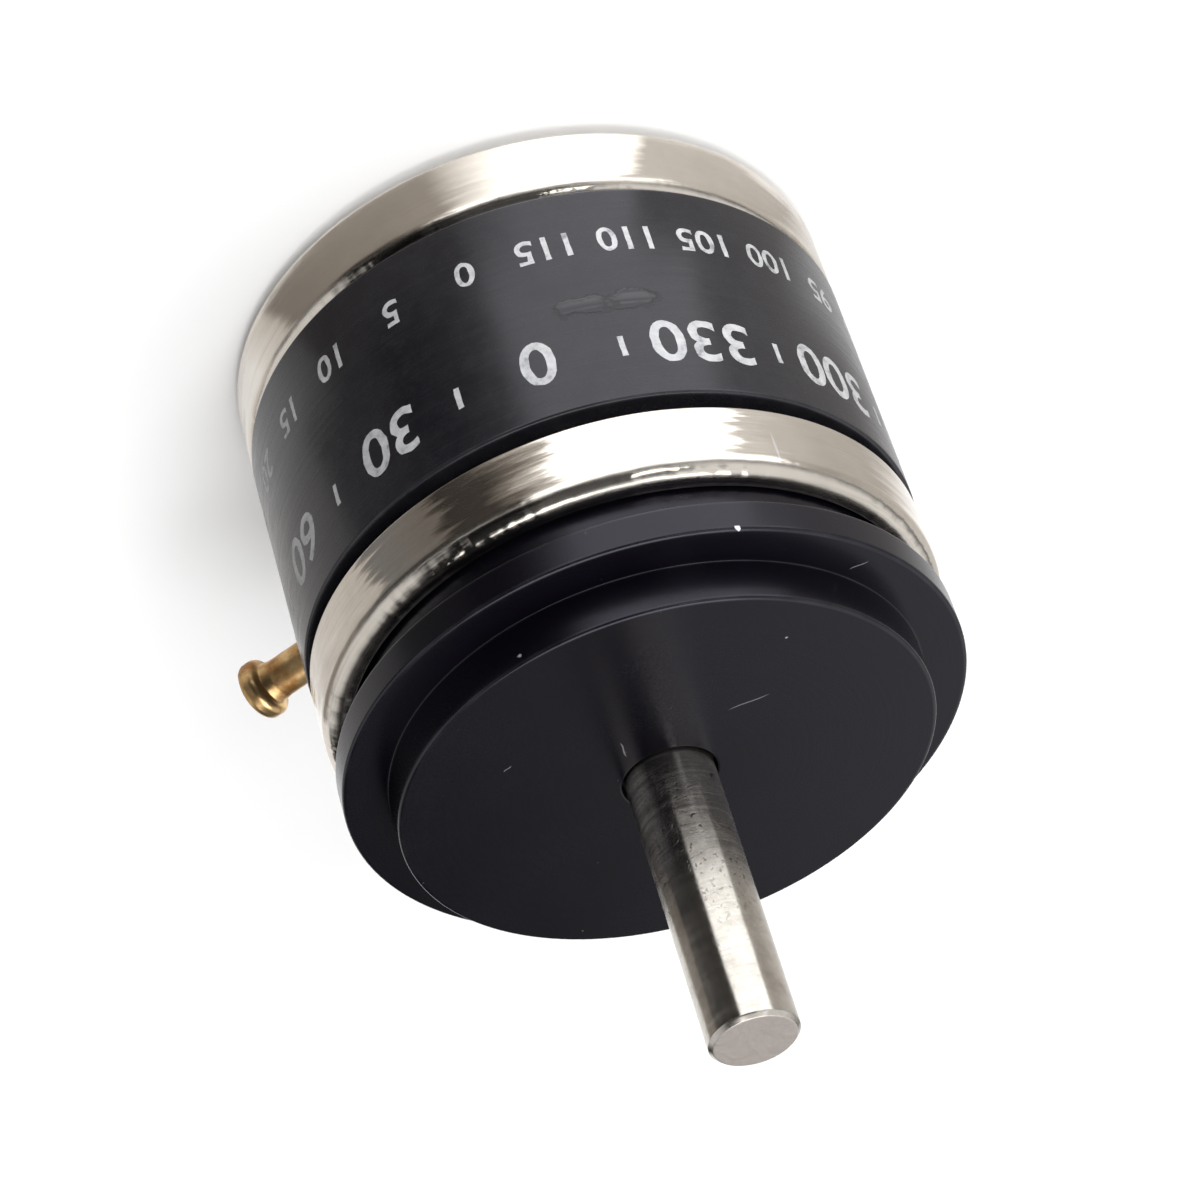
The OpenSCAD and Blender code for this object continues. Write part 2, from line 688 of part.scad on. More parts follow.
front_lid();
clamp_band(front_band_z);  // front_clamp_band
housing();
clamp_band(rear_band_z);  // rear_clamp_band
rear_lid();
terminal(terminal_angles[0]);  // terminal_left
terminal(terminal_angles[1]);  // terminal_centre
terminal(terminal_angles[2]);  // terminal_right
element_carrier();
element_mandrel();
resistance_winding();
lead(-1);  // lead_left
lead(1);  // lead_right
brush_block();
brush_wires();
outer_race(front_race_z);  // front_outer_race
shields(front_race_z);  // front_shields
bearing_snap_ring();
outer_race(rear_race_z);  // rear_outer_race
shields(rear_race_z);  // rear_shields
preload_spring();
shaft();
inner_race(front_race_z);  // front_inner_race
inner_race(rear_race_z);  // rear_inner_race
shim_washers();
shaft_retaining_rings();
rotor_hub();
hub_set_screw();
slip_ring();
wiper_lead();
wiper_spring();
wiper_fingers();
wiper_screw();
balls(front_race_z);  // front_balls
ball_cage(front_race_z);  // front_ball_cage
balls(rear_race_z);  // rear_balls
ball_cage(rear_race_z);  // rear_ball_cage
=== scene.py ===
"""Looks of a servo-mount precision potentiometer: turned pieces, printed scales and studio."""
import json
import math

import bmesh
import bpy
from mathutils import Matrix, Vector, noise


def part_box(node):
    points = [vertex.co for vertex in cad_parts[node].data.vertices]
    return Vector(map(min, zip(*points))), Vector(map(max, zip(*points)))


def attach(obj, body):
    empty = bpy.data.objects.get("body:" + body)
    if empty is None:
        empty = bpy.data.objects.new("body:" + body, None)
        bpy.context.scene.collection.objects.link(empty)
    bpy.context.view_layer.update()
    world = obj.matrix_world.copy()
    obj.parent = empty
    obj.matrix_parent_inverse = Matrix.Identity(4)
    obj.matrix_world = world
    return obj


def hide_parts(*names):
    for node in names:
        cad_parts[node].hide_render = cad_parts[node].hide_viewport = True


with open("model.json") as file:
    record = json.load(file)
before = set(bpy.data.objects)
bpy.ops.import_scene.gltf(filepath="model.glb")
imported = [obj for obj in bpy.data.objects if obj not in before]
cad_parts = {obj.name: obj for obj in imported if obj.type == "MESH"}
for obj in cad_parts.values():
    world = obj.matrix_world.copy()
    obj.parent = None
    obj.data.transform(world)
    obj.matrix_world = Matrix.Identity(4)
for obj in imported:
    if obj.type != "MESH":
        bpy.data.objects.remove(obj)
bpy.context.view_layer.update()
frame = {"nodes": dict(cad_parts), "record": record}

MM = 0.001
TURN = 2 * math.pi

# ---------------------------------------------------------------- sizes, in millimetres

# The first ones come from the frame. The others are what it doesn't give, close to the CAD's own.

mounts = {m["name"]: m for m in frame["record"]["mounts"]}


def extent(node):
    """Lowest z, highest z and outer radius of a CAD node that lies round the shaft's axis."""
    low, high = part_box(node)
    return low.z / MM, high.z / MM, high.x / MM


LID_END, PILOT_TOP, FLANGE_R = extent("front_lid")
FRONT_BAND_END, FRONT_BAND_Z, BAND_R = extent("front_clamp_band")
REAR_BAND_END, REAR_BAND_Z = extent("rear_clamp_band")[:2]
PARTING_REAR, PARTING_FRONT, HOUSING_R = extent("housing")
REAR_Z, REAR_TOP, REAR_LIP_R = extent("rear_lid")
SHAFT_END, SHAFT_TIP, SHAFT_R = extent("shaft")
BEARING_END, BEARING_Z, BEARING_R = extent("front_outer_race")
REAR_BEARING_Z = extent("rear_outer_race")[1]
PILOT_R = mounts["pilot"]["dims"]["r_mm"]
WIRE_HOLE_R = mounts["terminal_centre_wire"]["dims"]["r_mm"]

AXIS_R = 0.001  # Radius that stands for the axis itself, so that no face of a turned piece is a line.
FIT = 0.02  # Play between pieces that fit together.
EDGE = 0.12  # Fillet of a broken edge.

FLANGE_T = 1.25
ROOT_R = REAR_LIP_R - 0.65  # Floor of the clamp groove and of the steps that take the bands.
NECK_W = 0.62  # Groove between the front band and the housing's wall.
HOUSING_Z = FRONT_BAND_END - NECK_W
SHOULDER_Z = REAR_BAND_Z

BORE_R = 9.3
SPIGOT_R = BORE_R - FIT
SPIGOT_L = 1.2
CAVITY_R = SPIGOT_R - 1.0
POCKET_R = BEARING_R + FIT
BOSS_R = POCKET_R + 1.3
SNAP_ROOM = 0.77  # From the front bearing to the end of its boss, for the snap ring and a land.
FRONT_WEB = 2.9  # Thickness of the front lid before its cavity.
REAR_WEB = 1.5  # Thickness of the rear lid behind its cavity, and behind its pocket.
REAR_WALL = 0.8

BAND_T = 0.3  # Sheet thickness of a band.
ROLL_R = 0.7  # Outer radius of a band's rolled edge.
LIP_R = BAND_R - BAND_T - FIT  # Lips of the lid and the housing inside the bands.

SHAFT_HOLE_R = 1.7
CHAMFER = 0.15
RING_DEPTH = 0.3  # Grooves for the shaft's retaining rings: depth, and start and end from a bearing.
RING_NEAR = 0.1
RING_FAR = 0.5

RIM_R = 1.17  # Bead at a terminal's end: radius, length and the narrowing behind it.
RIM_L = 0.56
RIM_NECK = 0.14
BARREL_R = 0.76

# ---------------------------------------------------------------- mesh building


def rounded(corners, arc_steps=6, support=0.05):
    """Closed outline in (radius, height) from corners (r, z, fillet). Each point is (r, z, wear), where wear
    is 1 on a fillet: the mask that lightens an edge for wear and for a painted highlight. A loop of points
    beside each fillet keeps the mask on the edge."""
    points = []
    count = len(corners)
    for i, (r, z, fillet) in enumerate(corners):
        here = Vector((r, z))
        before = Vector(corners[i - 1][:2]) - here
        after = Vector(corners[(i + 1) % count][:2]) - here
        a, b = before.normalized(), after.normalized()
        if fillet <= 0:
            points.append((r, z, 0.0))
            continue
        half = a.angle(b) / 2
        reach = fillet / math.tan(half)
        centre = here + (a + b).normalized() * (fillet / math.sin(half))
        start, end = here + a * reach, here + b * reach
        points.append((*(start + a * support), 0.0))
        v0, v1 = start - centre, end - centre
        sweep = v0.angle_signed(v1)
        for k in range(arc_steps + 1):
            spoke = v0.copy()
            spoke.rotate(Matrix.Rotation(-sweep * k / arc_steps, 2))
            points.append((*(centre + spoke), 1.0))
        points.append((*(end + b * support), 0.0))
    return points


def lathe(name, outline, steps=256, place=None, shape=None, smooth_angle=40):
    """Closed ring of an outline turned about Z, in millimetres, as a mesh object. shape(r, z, angle) may
    return another (r, z). place is a matrix from the turned shape to the part's frame."""
    verts, wear, faces = [], [], []
    n = len(outline)
    for s in range(steps):
        angle = TURN * s / steps
        for r, z, w in outline:
            if shape:
                r, z = shape(r, z, angle)
            verts.append(Vector((r * math.cos(angle), r * math.sin(angle), z)))
            wear.append(w)
    for s in range(steps):
        t = (s + 1) % steps
        for k in range(n):
            m = (k + 1) % n
            faces.append((s * n + k, t * n + k, t * n + m, s * n + m))
    if place:
        verts = [place @ v for v in verts]
    return mesh_object(name, verts, faces, wear, smooth_angle)


def mesh_object(name, verts, faces, wear=None, smooth_angle=40):
    """Mesh object from points in millimetres, with outward faces and smooth shading below an angle."""
    mesh = bpy.data.meshes.new(name)
    mesh.from_pydata([tuple(v * MM) for v in verts], [], faces)
    mesh.update()
    if wear:
        mesh.attributes.new("wear", "FLOAT", "POINT").data.foreach_set("value", wear)
    outwards(mesh)
    mesh.shade_smooth()
    mesh.set_sharp_from_angle(angle=math.radians(smooth_angle))
    obj = bpy.data.objects.new(name, mesh)
    bpy.context.scene.collection.objects.link(obj)
    return obj


def outwards(mesh):
    """Turns all faces outwards if the closed mesh is inside out."""
    volume = 0.0
    for poly in mesh.polygons:
        a = mesh.vertices[poly.vertices[0]].co
        for i in range(1, len(poly.vertices) - 1):
            b = mesh.vertices[poly.vertices[i]].co
            c = mesh.vertices[poly.vertices[i + 1]].co
            volume += a.dot(b.cross(c))
    if volume < 0:
        mesh.flip_normals()


# ---------------------------------------------------------------- material building


class Nodes:
    """Short calls for the nodes of one tree."""

    def __init__(self, tree):
        self.tree = tree

    def node(self, kind, **values):
        """New node with some of its properties set."""
        n = self.tree.nodes.new(kind)
        for key, value in values.items():
            setattr(n, key, value)
        return n

    def link(self, source, target):
        self.tree.links.new(source, target)

    def feed(self, value, socket):
        """Sets a socket to a number or a colour, or links it."""
        if isinstance(value, (int, float)):
            socket.default_value = value
        elif isinstance(value, tuple):
            socket.default_value = (*value, 1)
        else:
            self.link(value, socket)

    def math(self, op, a, b=None):
        n = self.node("ShaderNodeMath", operation=op)
        self.feed(a, n.inputs[0])
        if b is not None:
            self.feed(b, n.inputs[1])
        return n.outputs[0]

    def times(self, a, b):
        return self.math("MULTIPLY", a, b)

    def plus(self, a, b):
        return self.math("ADD", a, b)

    def minus(self, a, b):
        return self.math("SUBTRACT", a, b)

    def split(self, vector):
        """The x, y and z of a vector."""
        n = self.node("ShaderNodeSeparateXYZ")
        self.link(vector, n.inputs[0])
        return n.outputs

    def ramp(self, value, stops):
        """Colour ramp from (position, grey or colour) stops."""
        n = self.node("ShaderNodeValToRGB")
        elements = n.color_ramp.elements
        while len(elements) < len(stops):
            elements.new(0.5)
        for e, (at, shade) in zip(elements, stops):
            e.position = at
            if isinstance(shade, (int, float)):
                shade = (shade, shade, shade)
            e.color = (*shade, 1)
        self.link(value, n.inputs[0])
        return n.outputs[0]


class Shader(Nodes):
    """A node material around one Principled BSDF."""

    def __init__(self, name, color, metallic=0.0, roughness=0.5):
        self.mat = bpy.data.materials.new(name)
        self.mat.use_nodes = True
        super().__init__(self.mat.node_tree)
        self.bsdf = self.tree.nodes["Principled BSDF"]
        self.bsdf.inputs["Base Color"].default_value = (*color, 1)
        self.bsdf.inputs["Metallic"].default_value = metallic
        self.bsdf.inputs["Roughness"].default_value = roughness
        self.coord = self.node("ShaderNodeTexCoord").outputs["Object"]

    def mix(self, factor, a, b):
        """Colour between a and b. A mix node keeps its colour sockets behind those of its other types."""
        n = self.node("ShaderNodeMix", data_type="RGBA")
        self.feed(factor, n.inputs[0])
        self.feed(a, n.inputs[6])
        self.feed(b, n.inputs[7])
        return n.outputs[2]

    def noise(self, coord, scale, detail=4.0, roughness=0.55, distortion=0.0):
        n = self.node("ShaderNodeTexNoise")
        n.inputs["Scale"].default_value = scale
        n.inputs["Detail"].default_value = detail
        n.inputs["Roughness"].default_value = roughness
        n.inputs["Distortion"].default_value = distortion
        self.link(coord, n.inputs["Vector"])
        return n.outputs["Fac"]

    def length(self, x, y):
        return self.math("SQRT", self.plus(self.times(x, x), self.times(y, y)))

    def round_coord(self, around, along, outward):
        """Coordinates that run round the Z axis, along it and away from it, each with its own scale."""
        x, y, z = self.split(self.coord)
        angle = self.math("ARCTAN2", y, x)
        n = self.node("ShaderNodeCombineXYZ")
        self.link(self.times(angle, around), n.inputs[0])
        self.link(self.times(z, along), n.inputs[1])
        self.link(self.times(self.length(x, y), outward), n.inputs[2])
        return n.outputs[0]

    def drawn(self, amount):
        """Marks that run round the shaft and so smear along it what the metal mirrors."""
        self.bsdf.inputs["Anisotropic"].default_value = amount
        around = self.node("ShaderNodeTangent", direction_type="RADIAL", axis="Z")
        self.link(around.outputs[0], self.bsdf.inputs["Tangent"])
        self.bsdf.inputs["Anisotropic Rotation"].default_value = 0.25

    def lean(self, sway, amount):
        """Normal turned sideways round the shaft by a little, as an uneven rolled sheet turns it."""
        x, y = self.split(self.coord)[:2]
        side = self.node("ShaderNodeCombineXYZ")
        self.link(self.times(y, -1), side.inputs[0])
        self.link(x, side.inputs[1])
        part = self.node("ShaderNodeVectorMath", operation="SCALE")
        self.link(self.unit(side.outputs[0]), part.inputs[0])
        self.link(self.times(self.minus(sway, 0.5), amount), part.inputs["Scale"])
        total = self.node("ShaderNodeVectorMath", operation="ADD")
        self.link(self.node("ShaderNodeNewGeometry").outputs["Normal"], total.inputs[0])
        self.link(part.outputs[0], total.inputs[1])
        return self.unit(total.outputs[0])

    def unit(self, vector):
        n = self.node("ShaderNodeVectorMath", operation="NORMALIZE")
        self.link(vector, n.inputs[0])
        return n.outputs[0]

    def patch(self, turn, height, half_turn, half_height, ragged=0.5):
        """Distance from a spot on the round wall, 1 at its ragged rim. Angles in degrees, heights in mm."""
        x, y, z = self.split(self.coord)
        angle = self.math("ARCTAN2", y, x)
        a = self.times(self.minus(angle, math.radians(turn)), 1 / math.radians(half_turn))
        h = self.times(self.minus(z, height * MM), 1 / (half_height * MM))
        rag = self.minus(self.noise(self.coord, 1500, detail=5), 0.5)
        return self.plus(self.length(a, h), self.times(rag, ragged * 2))

    def scratch(self, x_mm, y_mm, heading, length, half_width=0.035):
        """Mask of one bowed scratch, seen from above, with its middle at x, y. It ends just below the
        flange's front face, which lies at height 0. Heading in degrees, sizes in mm."""
        x, y, z = self.split(self.coord)
        c, t = math.cos(math.radians(heading)), math.sin(math.radians(heading))
        dx = self.minus(x, x_mm * MM)
        dy = self.minus(y, y_mm * MM)
        along = self.plus(self.times(dx, c), self.times(dy, t))
        across = self.minus(self.times(dy, c), self.times(dx, t))
        bow = self.times(self.math("SINE", self.times(along, 5.0 / (length * MM))), 0.04 * MM)
        across = self.math("ABSOLUTE", self.plus(across, bow))
        end = self.math("ABSOLUTE", self.times(along, 2 / (length * MM)))
        thin = self.plus(self.times(across, 1 / (half_width * MM)), self.math("POWER", end, 4))
        depth = self.times(z, -1 / MM)
        return self.times(self.ramp(thin, [(0.4, 1), (1.0, 0)]), self.ramp(depth, [(0.1, 1), (0.16, 0)]))

    def wear(self):
        """1 on the fillets of a turned piece, 0 elsewhere: where edges are lightened for wear and for a
        painted highlight.
        """
        return self.node("ShaderNodeAttribute", attribute_name="wear").outputs["Fac"]

    def color(self, socket):
        self.link(socket, self.bsdf.inputs["Base Color"])

    def rough(self, socket):
        self.link(socket, self.bsdf.inputs["Roughness"])

    def bump(self, layers, normal=None):
        """Bump from (height socket, depth in metres) layers, chained."""
        for height, depth in layers:
            n = self.node("ShaderNodeBump")
            n.inputs["Strength"].default_value = 1.0
            n.inputs["Distance"].default_value = depth
            self.link(height, n.inputs["Height"])
            if normal:
                self.link(normal, n.inputs["Normal"])
            normal = n.outputs[0]
        self.link(normal, self.bsdf.inputs["Normal"])


# ---------------------------------------------------------------- materials

# Noise scales are per metre: 1000 gives patches about a millimetre wide. Bump depths are in metres.

WARM_NICKEL = (0.79, 0.735, 0.665)


def nickel():
    """Bright nickel plate on a rolled band, uneven in streaks, with fine scratches, stains and one nick."""
    s = Shader("nickel_plate", WARM_NICKEL, metallic=1.0, roughness=0.08)
    streaks = s.noise(s.round_coord(2.6, 2600, 300), 1.0, detail=6, roughness=0.7)
    fine = s.noise(s.round_coord(1.6, 16000, 900), 1.0, detail=3, roughness=0.6)
    cloud = s.noise(s.coord, 260, detail=6, roughness=0.6)
    tint = s.mix(s.ramp(cloud, [(0.42, 0), (0.7, 0.6)]), WARM_NICKEL, (0.66, 0.615, 0.545))
    tint = s.mix(s.ramp(fine, [(0.6, 0), (0.75, 0.3)]), tint, (0.5, 0.46, 0.4))
    nick = s.patch(73.2, -3.7, 0.32, 0.75, ragged=0.2)
    s.color(s.mix(s.ramp(nick, [(0.6, 0.8), (1.0, 0)]), tint, (1.0, 1.0, 1.0)))
    dull = s.times(s.ramp(cloud, [(0.4, 0), (0.75, 1)]), 0.08)
    s.rough(s.plus(s.ramp(fine, [(0.35, 0.1), (0.7, 0.2)]), dull))
    s.drawn(0.9)
    leaning = s.lean(streaks, 0.5)
    s.bump([(fine, 0.0000012), (s.noise(s.coord, 420, detail=2), 0.000007)], leaning)
    return s.mat


def edge_glint(s, tint, strength, shade):
    """Colour with the edges of a dark piece showing as a thin, broken, lighter line: partly wear, partly a
    painted highlight where a fillet would catch the light.
    """
    broken = s.ramp(s.noise(s.coord, 700, detail=5), [(0.4, 0.25), (0.7, 1)])
    share = s.times(s.times(s.wear(), broken), strength)
    return s.mix(share, tint, shade)


def anodised(name, base, turning, scratches=(), painted_glints=()):
    """Black anodised aluminium: fine grain of the etch, faint turning rings, edges lightened by wear and a
    painted highlight, dust, scratches down to the bare metal, and painted glints: bright bluish dots that
    stand in for a lamp's reflection on an edge."""
    s = Shader(name, base, roughness=0.3)
    s.bsdf.inputs["Specular IOR Level"].default_value = 0.43
    s.bsdf.inputs["Specular Tint"].default_value = (0.86, 0.84, 1.0, 1)
    grain = s.noise(s.coord, 11000, detail=3, roughness=0.6)
    rings = s.noise(s.round_coord(0.8, 200, turning), 1.0, detail=3)
    haze = s.noise(s.coord, 210, detail=6, roughness=0.6)
    both = s.times(s.plus(grain, haze), 0.5)
    tint = s.ramp(both, [(0.35, base), (0.72, tuple(v * 1.7 for v in base))])
    # Edges lightened: partly wear, partly a painted highlight on the fillets.
    tint = edge_glint(s, tint, 0.22, (0.045, 0.045, 0.05))
    speck = s.ramp(s.noise(s.coord, 1900, detail=1), [(0.0, 0), (0.80, 0), (0.825, 1)])
    tint = s.mix(s.times(speck, 0.6), tint, (0.45, 0.45, 0.47))
    for spot in scratches:
        tint = s.mix(s.times(s.scratch(*spot), 0.7), tint, (0.20, 0.20, 0.20))
    # Painted glint: a bright bluish dot that stands in for a lamp's reflection on the edge.
    for spot in painted_glints:
        tint = s.mix(s.scratch(*spot), tint, (0.86, 0.88, 1.0))
    s.color(tint)
    s.rough(s.ramp(both, [(0.3, 0.2), (0.7, 0.3)]))
    s.bump([(grain, 0.0000013), (rings, 0.0000012)])
    return s.mat


def moulding():
    """Black moulded housing, turned true: satin, with machining lines round it, rubs and a double scuff."""
    base = (0.0075, 0.0072, 0.0098)
    s = Shader("black_moulding", base, roughness=0.33)
    s.bsdf.inputs["Specular Tint"].default_value = (0.94, 0.93, 1.0, 1)
    lines = s.noise(s.round_coord(0.5, 5200, 300), 1.0, detail=4, roughness=0.6)
    mottle = s.noise(s.coord, 900, detail=6, roughness=0.65)
    rub = s.noise(s.round_coord(0.03, 260, 1), 14.0, detail=7, roughness=0.7, distortion=0.4)
    rubbed = s.ramp(rub, [(0.56, 0), (0.78, 0.5)])
    tint = s.mix(s.ramp(mottle, [(0.35, 0), (0.75, 1)]), base, (0.014, 0.0138, 0.0165))
    tint = s.mix(rubbed, tint, (0.026, 0.026, 0.029))
    scuffs = [s.patch(99.3, -10.4, 5.2, 0.5, ragged=0.8), s.patch(90.6, -10.4, 5.4, 0.5, ragged=0.8)]
    inside = s.math("MAXIMUM", *(s.ramp(scuff, [(0.5, 1), (0.8, 0)]) for scuff in scuffs))
    outline = [(0.74, 0), (0.9, 1), (1.0, 1), (1.12, 0)]
    rim = s.math("MAXIMUM", *(s.ramp(scuff, outline) for scuff in scuffs))
    streak = s.ramp(s.noise(s.round_coord(0.6, 3300, 300), 1.0, detail=3), [(0.45, 0), (0.62, 1)])
    tint = s.mix(s.times(s.times(inside, streak), 0.55), tint, (0.07, 0.07, 0.073))
    tint = s.mix(s.times(rim, 0.7), tint, (0.0015, 0.0015, 0.0015))
    # Edges lightened: partly wear, partly a painted highlight on the fillets.
    s.color(edge_glint(s, tint, 0.3, (0.05, 0.05, 0.055)))
    uneven = s.plus(s.times(lines, 0.6), s.times(mottle, 0.4))
    s.rough(s.plus(s.ramp(uneven, [(0.3, 0.2), (0.7, 0.34)]), s.times(inside, 0.1)))
    s.bump([(lines, 0.000002), (mottle, 0.0000014), (rim, -0.000016), (streak, 0.000001)])
    return s.mat


def gold():
    """Gold-plated brass, browned in patches."""
    s = Shader("gold_plate", (0.74, 0.51, 0.24), metallic=1.0, roughness=0.3)
    mottle = s.noise(s.coord, 900, detail=6, roughness=0.6)
    fine = s.noise(s.coord, 5200, detail=3)
    s.color(s.mix(s.ramp(mottle, [(0.38, 0), (0.62, 1)]), (0.76, 0.53, 0.26), (0.36, 0.18, 0.06)))
    s.rough(s.ramp(mottle, [(0.3, 0.27), (0.7, 0.5)]))
    s.bump([(fine, 0.000004), (mottle, 0.00002)])
    return s.mat


def steel(name, base, around=0.6, along=7000):
    """Ground steel: fine marks round the axis, stains and small pits."""
    s = Shader(name, base, metallic=1.0, roughness=0.14)
    marks = s.noise(s.round_coord(around, along, 5000), 1.0, detail=4, roughness=0.65)
    stain = s.noise(s.coord, 640, detail=7, roughness=0.65)
    pit = s.ramp(s.noise(s.coord, 4200, detail=3), [(0.0, 0), (0.655, 0), (0.70, 1)])
    pit = s.times(pit, s.ramp(s.noise(s.coord, 420, detail=3), [(0.42, 0), (0.6, 1)]))
    dull = tuple(v * 0.68 for v in base)
    tint = s.mix(s.ramp(stain, [(0.4, 0), (0.66, 0.75)]), base, dull)
    s.color(s.mix(s.times(pit, 0.75), tint, (0.07, 0.05, 0.04)))
    s.rough(s.ramp(s.times(s.plus(marks, stain), 0.5), [(0.32, 0.05), (0.66, 0.2)]))
    s.bump([(marks, 0.0000012), (pit, -0.00001), (s.noise(s.coord, 480, detail=3), 0.000012)])
    return s.mat


def shaft_steel():
    """Ground steel with marks round it and pits near its root."""
    base = (0.70, 0.665, 0.61)
    s = Shader("shaft_steel", base, metallic=1.0, roughness=0.12)
    marks = s.noise(s.round_coord(0.6, 7000, 5000), 1.0, detail=4, roughness=0.65)
    waver = s.noise(s.round_coord(2.5, 260, 900), 1.0, detail=5, roughness=0.6)
    stain = s.noise(s.coord, 900, detail=7, roughness=0.7)
    z = s.split(s.coord)[2]
    root = s.ramp(s.times(z, 1 / (SHAFT_TIP * MM)), [(0.25, 1), (0.75, 0.15)])
    pit = s.ramp(s.noise(s.coord, 5200, detail=4), [(0.0, 0), (0.585, 0), (0.64, 1)])
    pit = s.times(pit, s.ramp(s.noise(s.coord, 700, detail=2), [(0.42, 0), (0.55, 1)]))
    pit = s.times(pit, root)
    tint = s.mix(s.ramp(stain, [(0.42, 0), (0.66, 0.7)]), base, (0.46, 0.43, 0.385))
    tint = s.mix(s.times(pit, 0.85), tint, (0.06, 0.045, 0.035))
    s.color(tint)
    s.rough(s.ramp(marks, [(0.35, 0.16), (0.68, 0.26)]))
    s.drawn(0.92)
    leaning = s.lean(waver, 0.1)
    s.bump([(pit, -0.000005), (s.noise(s.coord, 520, detail=3), 0.000006), (stain, 0.000002)], leaning)
    return s.mat


def faced_end():
    """Dull end of the shaft, as the saw and a quick facing cut left it."""
    s = Shader("shaft_end_steel", (0.7, 0.64, 0.6), metallic=1.0, roughness=0.5)
    stain = s.noise(s.coord, 1100, detail=7, roughness=0.7)
    swirl = s.noise(s.coord, 700, detail=3, distortion=2.5)
    both = s.times(s.plus(stain, swirl), 0.5)
    s.color(s.ramp(both, [(0.36, (0.80, 0.735, 0.69)), (0.6, (0.58, 0.525, 0.485))]))
    s.rough(s.ramp(both, [(0.35, 0.42), (0.65, 0.58)]))
    s.bump([(swirl, 0.00001), (stain, 0.000005)])
    return s.mat


def moulded(name, base):
    """Moulded plastic inside the case, finely mottled."""
    s = Shader(name, base, roughness=0.5)
    mottle = s.noise(s.coord, 900, detail=6)
    s.color(s.mix(mottle, tuple(v * 0.7 for v in base), tuple(v * 1.3 for v in base)))
    s.rough(s.ramp(mottle, [(0.3, 0.42), (0.7, 0.62)]))
    s.bump([(mottle, 0.00001)])
    return s.mat


def ink():
    """White pad-printing ink, uneven and dark where it is thin."""
    s = Shader("white_ink", (0.55, 0.56, 0.58), roughness=0.5)
    patchy = s.noise(s.coord, 2300, detail=5, roughness=0.7)
    thin, worn, full = (0.17, 0.17, 0.19), (0.42, 0.425, 0.44), (0.56, 0.56, 0.57)
    s.color(s.ramp(patchy, [(0.3, thin), (0.46, worn), (0.7, full)]))
    s.rough(s.ramp(patchy, [(0.3, 0.42), (0.7, 0.6)]))
    s.bump([(patchy, 0.000006)])
    return s.mat


# ---------------------------------------------------------------- visible pieces


def dress(obj, node, body, material):
    """The piece stands for a CAD node, rides on its body and takes its material slot."""
    obj.data.materials.append(material)
    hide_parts(node)
    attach(obj, body)
    return obj


# Where the front lid's faces are scratched: x and y of the middle, heading in degrees, and length.
SCRATCHES = [(2.1, 3.83, 29, 1.6), (-1.99, 1.87, 118, 0.95), (5.5, 8.6, 34, 0.75), (-6.0, 1.5, 65, 0.4),
             (3.5, -6.2, 140, 0.5)]
# The painted glint on the flange's edge, a bright bluish dot that stands in for a lamp's reflection:
# likewise, and half its width.
PAINTED_GLINTS = [(0.79, 11.08, 0, 0.22, 0.1)]


def make_front_lid():
    """Pilot, flange, clamp groove and, inside, the spigot and the bearing's pocket."""
    lip_end = FRONT_BAND_Z - BAND_T - FIT
    cavity_z = PILOT_TOP - FRONT_WEB
    boss_end = BEARING_END - SNAP_ROOM
    relief_r = SHAFT_HOLE_R + 0.9
    relief_z = BEARING_Z + 0.2
    outline = rounded([
        (SHAFT_HOLE_R, PILOT_TOP, 0.05), (PILOT_R, PILOT_TOP, EDGE), (PILOT_R, 0, 0.03),
        (FLANGE_R, 0, EDGE), (FLANGE_R, -FLANGE_T, EDGE), (ROOT_R, -FLANGE_T, 0.08),
        (ROOT_R, lip_end, 0.05), (LIP_R, lip_end, ROLL_R - BAND_T), (LIP_R, PARTING_FRONT, 0),
        (SPIGOT_R, PARTING_FRONT, 0), (SPIGOT_R, LID_END, EDGE), (CAVITY_R, LID_END, 0.05),
        (CAVITY_R, cavity_z, 0.2), (BOSS_R, cavity_z, 0.2), (BOSS_R, boss_end, EDGE),
        (POCKET_R, boss_end, 0.05), (POCKET_R, BEARING_Z, 0), (relief_r, BEARING_Z, 0),
        (relief_r, relief_z, 0), (SHAFT_HOLE_R, relief_z, 0),
    ])
    lid = lathe("lid_front", outline, steps=360)
    black = anodised("black_anodise", (0.0016, 0.0013, 0.0026), 6500, SCRATCHES, PAINTED_GLINTS)
    return dress(lid, "front_lid", "case", black)


def band_outline():
    """Channel section whose rolled front edge is at height 0."""
    r, w, t = BAND_R, FRONT_BAND_Z - FRONT_BAND_END, BAND_T
    lip_r = ROOT_R + 0.11
    return rounded([
        (lip_r, 0, 0.08), (r, 0, ROLL_R), (r, -w, 0.12), (lip_r, -w, 0.03),
        (lip_r, -w + t, 0.03), (r - t, -w + t, 0), (r - t, -t, ROLL_R - t), (lip_r, -t, 0.08),
    ], arc_steps=10)


def make_band(name, node, z, seed):
    """A band whose rolled edge is slightly wavy, as rolling leaves it. The seed picks its waves."""
    def waved(r, h, angle):
        spot = Vector((math.cos(angle), math.sin(angle), 0)) * 5 + Vector((seed, 0, 0))
        near_edge = max(0.0, 1 + h / ROLL_R)
        slow = noise.noise(spot) * 0.05 + noise.noise(spot * 3.1) * 0.03
        ripple = noise.noise(spot * 11) * 0.016 + noise.noise(spot * 27) * 0.009
        pulled = near_edge * (abs(slow) + abs(ripple))
        lowered = pulled * 0.8 if h > -0.6 else 0.0
        return r - pulled * 0.9, h - lowered

    band = lathe(name, band_outline(), steps=720, place=Matrix.Translation((0, 0, z)), shape=waved)
    return dress(band, node, "case", NICKEL)


